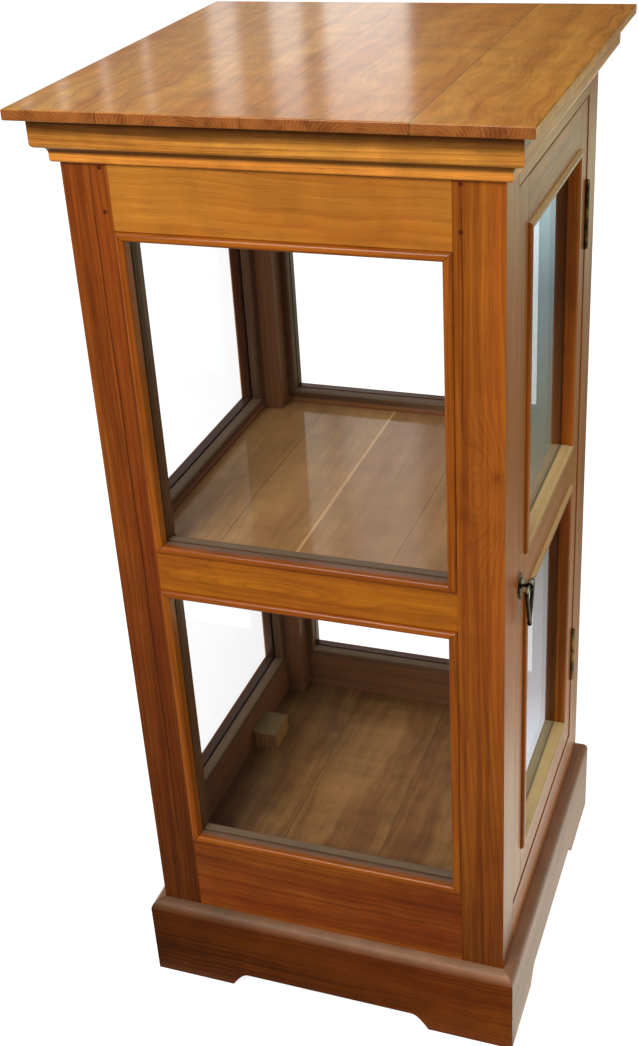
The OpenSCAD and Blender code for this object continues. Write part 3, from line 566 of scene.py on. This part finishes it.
def mouldedPlastic(name, look):
    m = newMaterial(name)
    grainy = m.noise(m.spot(), look["grainy"], 2)
    cloudy = m.noise(m.spot(), look["cloudy"], 2)
    bump = m.node("ShaderNodeBump", None, {**look["bump"], "Height": grainy})
    body = m.mix(cloudy, tone(*look["colour"]), tone(*[c * look["pale"] for c in look["colour"]]))
    shader = m.node("ShaderNodeBsdfPrincipled", None, {
        "Base Color": body, "Roughness": look["rough"] + (grainy - 0.5) * look["roughSpread"], "Normal": bump})
    return m.finish(shader)


dress(nodes["magnetic_catch"], mouldedPlastic("catch_brown", catchLook))
print("glass, metal and plastic done")


# turned parts of the pull: distance along the axis and radius, in metres
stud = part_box("pull_stud")
pullFoot = Vector((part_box("pull_back_plate")[1].x, (stud[0].y + stud[1].y) / 2, (stud[0].z + stud[1].z) / 2))
pullSwing = next(joint["pos_m"] for joint in frame["joints"] if joint["name"] == "pull_swing")
pullParts = {
    "collar": {"centre": pullFoot, "axis": (1, 0, 0), "steps": 56,
               "profile": [(0.0, 0.0034), (0.0, 0.0060), (0.0005, 0.0064), (0.0013, 0.0064), (0.0018, 0.0058),
                           (0.0021, 0.0048), (0.0026, 0.0045), (0.0032, 0.0047), (0.0037, 0.0043),
                           (0.0040, 0.0037), (0.0040, 0.0034)]},
    "knuckle": {"centre": pullSwing, "axis": (0, 1, 0), "steps": 40,
                "profile": [(-0.0036, 0.00175), (-0.0036, 0.0040), (-0.0033, 0.0045), (-0.0026, 0.0045),
                            (-0.0022, 0.0040), (0.0022, 0.0040), (0.0026, 0.0045), (0.0033, 0.0045),
                            (0.0036, 0.0040), (0.0036, 0.00175)]},
}


def newPiece(name, bm, body, mat):
    bmesh.ops.recalc_face_normals(bm, faces=bm.faces)
    mesh = bpy.data.meshes.new(name)
    bm.to_mesh(mesh)
    bm.free()
    obj = bpy.data.objects.new(name, mesh)
    bpy.context.scene.collection.objects.link(obj)
    mesh.shade_smooth()
    dress(obj, mat)
    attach(obj, body)
    return obj


def turned(bm, centre, axis, profile, steps):
    centre, axis = Vector(centre), Vector(axis)
    side = Vector((0, 0, 1))
    verts = [bm.verts.new(centre + axis * u + side * r) for u, r in profile]
    verts.append(verts[0])
    edges = [bm.edges.new(pair) for pair in zip(verts, verts[1:])]
    bmesh.ops.spin(bm, geom=verts[:-1] + edges, cent=centre, axis=axis, angle=math.tau, steps=steps,
                   use_merge=True)


for partName, part in pullParts.items():
    bm = bmesh.new()
    turned(bm, **part)
    newPiece("pull_" + partName, bm, "door", darkBronze)
print("pull parts done")

# slotted faces of the hinge screws, just over the heads in the two leaves
leaves = [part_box(which + "_hinge_case_leaf") for which in ("lower", "upper")]
screwFaces = {
    "apart": 0.026,          # from one screw to the next
    "turns": (25, 80, 130, 55, 160, 100),
    "radius": 0.0029, "slot": 0.00035, "rise": 0.00025, "segments": 40,
}
screwHeights = [(low.z + high.z) / 2 + step * screwFaces["apart"]
                for low, high in leaves for step in (-1, 0, 1)]


def slottedFaces(bm, heads, headY, outward):
    look = screwFaces
    for height, turn in zip(screwHeights, look["turns"]):
        centre = Vector(((heads[0].x + heads[1].x) / 2, headY, height))
        lay = Matrix.Rotation(math.radians(turn), 4, "Y") @ Matrix.Rotation(math.pi / 2, 4, "X")
        across = lay.to_3x3() @ Vector((0, 1, 0))
        for half in (1, -1):
            rim = bmesh.ops.create_circle(bm, cap_ends=True, segments=look["segments"], radius=look["radius"],
                                          matrix=Matrix.Translation(centre) @ lay)["verts"]
            disc = rim[0].link_faces[0]
            cut = bmesh.ops.bisect_plane(bm, geom=rim + list(disc.edges) + [disc], clear_inner=True,
                                         plane_co=centre + across * half * look["slot"], plane_no=across * half)
            faces = [g for g in cut["geom"] if isinstance(g, bmesh.types.BMFace)]
            raised = bmesh.ops.extrude_face_region(bm, geom=faces)["geom"]
            bmesh.ops.translate(bm, vec=(0, outward * look["rise"], 0),
                                verts=[g for g in raised if isinstance(g, bmesh.types.BMVert)])


for bodyName, outward in (("case", -1), ("door", 1)):
    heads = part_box("hinge_screws_" + bodyName)
    bm = bmesh.new()
    slottedFaces(bm, heads, heads[max(outward, 0)].y, outward)
    newPiece("screw_faces_" + bodyName, bm, bodyName, agedBrass).data.shade_flat()
print("screw faces done")


studio = {
    "floorSize": 14, "floorAlbedo": 0.4, "floorGlow": 0.87,
    # painted reflection: the floor glows to glossy rays beside and behind the cabinet, by distance and colour
    "sheenReach": 8.0, "sheen": [(0.0, (2.0, 1.95, 1.6)), (0.25, (1.8, 1.7, 1.35)), (0.5, (1.0, 0.84, 0.62)),
                                 (1.3, (0.27, 0.27, 0.11)), (2.3, (0.42, 0.5, 0.36)), (3.4, (1.4, 1.65, 1.15)),
                                 (3.9, (1.2, 1.35, 0.95)), (4.6, (0.35, 0.38, 0.3)), (8.0, (0.35, 0.38, 0.3))],
    "frontGloss": 0.2,
    "sideGloss": 0.45,       # what gloss sees far out to the left and the right; on the floor it is a painted reflection
    "floorBehind": (-0.25, 20), "floorBeside": (0.5, 1.5), "besideSlope": 1.1, "worldBeside": (0.7, 6),
    "fill": {"base": 0.15, "above": 0.75},
    "gloss": {"colour": (1.0, 0.86, 0.68), "low": 0.05, "high": 0.55, "from": 0.3, "to": 0.7},
    # panes of daylight behind the cabinet: x over y on the left and the right, and their strength
    "windows": [(-0.70, -0.303, 0.22), (-0.364, -0.303, 1.8), (-0.404, -0.381, 1.5), (-0.451, -0.430, 1.4),
                (-0.506, -0.501, 1.2), (-0.542, -0.536, 1.2), (-0.580, -0.573, 1.2), (-0.612, -0.606, 1.0)],
    "windowFrom": 0.10, "windowTo": 0.60, "windowSoft": 0.007,
    "windowDim": {"low": 0.85, "less": 0.3, "from": 0.21, "over": 0.06},
    "lamps": [
        # name, place, looks at, size, power, colour
        ("key", (-0.55, -1.95, 2.15), (0, 0, 0.85), (0.8, 0.8), 36, (1, 1, 1)),
        ("side", (2.4, -0.6, 1.3), (0, 0, 0.6), (1.4, 1.4), 9, (0.93, 1.0, 0.8)),
    ],
}


def makeFloor():
    bm = bmesh.new()
    bmesh.ops.create_grid(bm, x_segments=1, y_segments=1, size=studio["floorSize"])
    mesh = bpy.data.meshes.new("floor")
    bm.to_mesh(mesh)
    bm.free()
    floor = bpy.data.objects.new("floor", mesh)
    bpy.context.scene.collection.objects.link(floor)
    m = newMaterial("pale_floor")
    seen, glossyRay = m.rays()
    x, y, _ = m.split(m.spot())
    # painted reflection: to glossy rays the floor glows behind and beside the cabinet and looks darker in
    # front; to the camera it glows evenly white
    behind = y.past(*studio["floorBehind"]) * glossyRay
    beside = (x.abs() - y.abs() * studio["besideSlope"]).past(*studio["floorBeside"])
    beside = beside * (glossyRay - behind) * studio["sideGloss"]
    reach = studio["sheenReach"]
    stops = [(place / reach, tuple(c / 2 for c in colour) + (1,)) for place, colour in studio["sheen"]]
    sheen = m.split(m.ramp(y / reach, stops))
    parts = [c * 2 * behind + beside + seen * studio["floorGlow"] for c in sheen]
    pale = studio["floorAlbedo"] * (1 - glossyRay * (1 - studio["frontGloss"]))
    diffuse = m.node("ShaderNodeBsdfDiffuse", None, {"Color": m.join(pale, pale, pale)})
    glow = m.node("ShaderNodeEmission", None, {"Color": m.join(*parts), "Strength": 1.0})
    both = m.node("ShaderNodeAddShader", None, {0: diffuse, 1: glow})
    dress(floor, m.finish(both))


def makeWorld():
    world = bpy.data.worlds.new("studio")
    bpy.context.scene.world = world
    m = Mat(world)
    seen, glossyRay = m.rays()
    x, y, z = m.split(m.node("ShaderNodeTexCoord", out=0))
    fill, gloss = studio["fill"], studio["gloss"]
    plain = z.clip(0, 1) * fill["above"] + fill["base"]
    high = z.past(gloss["from"], 1 / (gloss["to"] - gloss["from"]))
    gleam = high * (gloss["high"] - gloss["low"]) + gloss["low"]
    slope = x / y.clip(0.05, 1)
    panes = 0
    for left, right, strength in studio["windows"]:
        soft = min(studio["windowSoft"], (right - left) / 2)
        opened, closed = (slope.past(edge - soft / 2, 1 / soft) for edge in (left, right))
        panes = opened * (1 - closed) * strength + panes
    dim = studio["windowDim"]
    lower = dim["low"] - z.past(dim["from"], 1 / dim["over"]) * dim["less"]
    panes = panes * y.above(0) * z.above(studio["windowFrom"]) * (1 - z.above(studio["windowTo"])) * lower
    beside = x.abs().past(*studio["worldBeside"]) * studio["sideGloss"]
    colour = [seen + (1 - seen) * ((1 - glossyRay) * plain + glossyRay * (gleam * c + panes + beside))
              for c in gloss["colour"]]
    back = m.node("ShaderNodeBackground", None, {"Color": m.join(*colour), "Strength": 1.0})
    m.finish(back, "ShaderNodeOutputWorld")


def aim(obj, target):
    obj.rotation_euler = (Vector(target) - obj.location).to_track_quat("-Z", "Y").to_euler()


def makeLamps():
    for name, place, target, size, power, colour in studio["lamps"]:
        light = bpy.data.lights.new(name, "AREA")
        light.shape = "RECTANGLE"
        light.size, light.size_y = size
        light.energy = power
        light.color = colour
        lamp = bpy.data.objects.new(name, light)
        bpy.context.scene.collection.objects.link(lamp)
        lamp.location = place
        aim(lamp, target)


view = {"place": (0.5120, -1.4652, 1.4502), "turn": 21.395, "down": 29.421, "roll": 3.755, "lens": 51.107}


def makeCamera():
    turn, down, roll = (math.radians(view[k]) for k in ("turn", "down", "roll"))
    forward = Vector((-math.sin(turn) * math.cos(down), math.cos(turn) * math.cos(down), -math.sin(down)))
    right = forward.cross(Vector((0, 0, 1))).normalized()
    up = right.cross(forward)
    up = up * math.cos(roll) + right * math.sin(roll)
    right = forward.cross(up)
    data = bpy.data.cameras.new("camera")
    data.lens = view["lens"]
    data.sensor_width = 36
    camera = bpy.data.objects.new("camera", data)
    bpy.context.scene.collection.objects.link(camera)
    lay = Matrix((right, up, -forward)).transposed().to_4x4()
    camera.matrix_world = Matrix.Translation(view["place"]) @ lay
    bpy.context.scene.camera = camera


makeFloor()
makeWorld()
makeLamps()
makeCamera()
bpy.context.scene.view_settings.view_transform = "Standard"
print("stage, lamps and camera done")
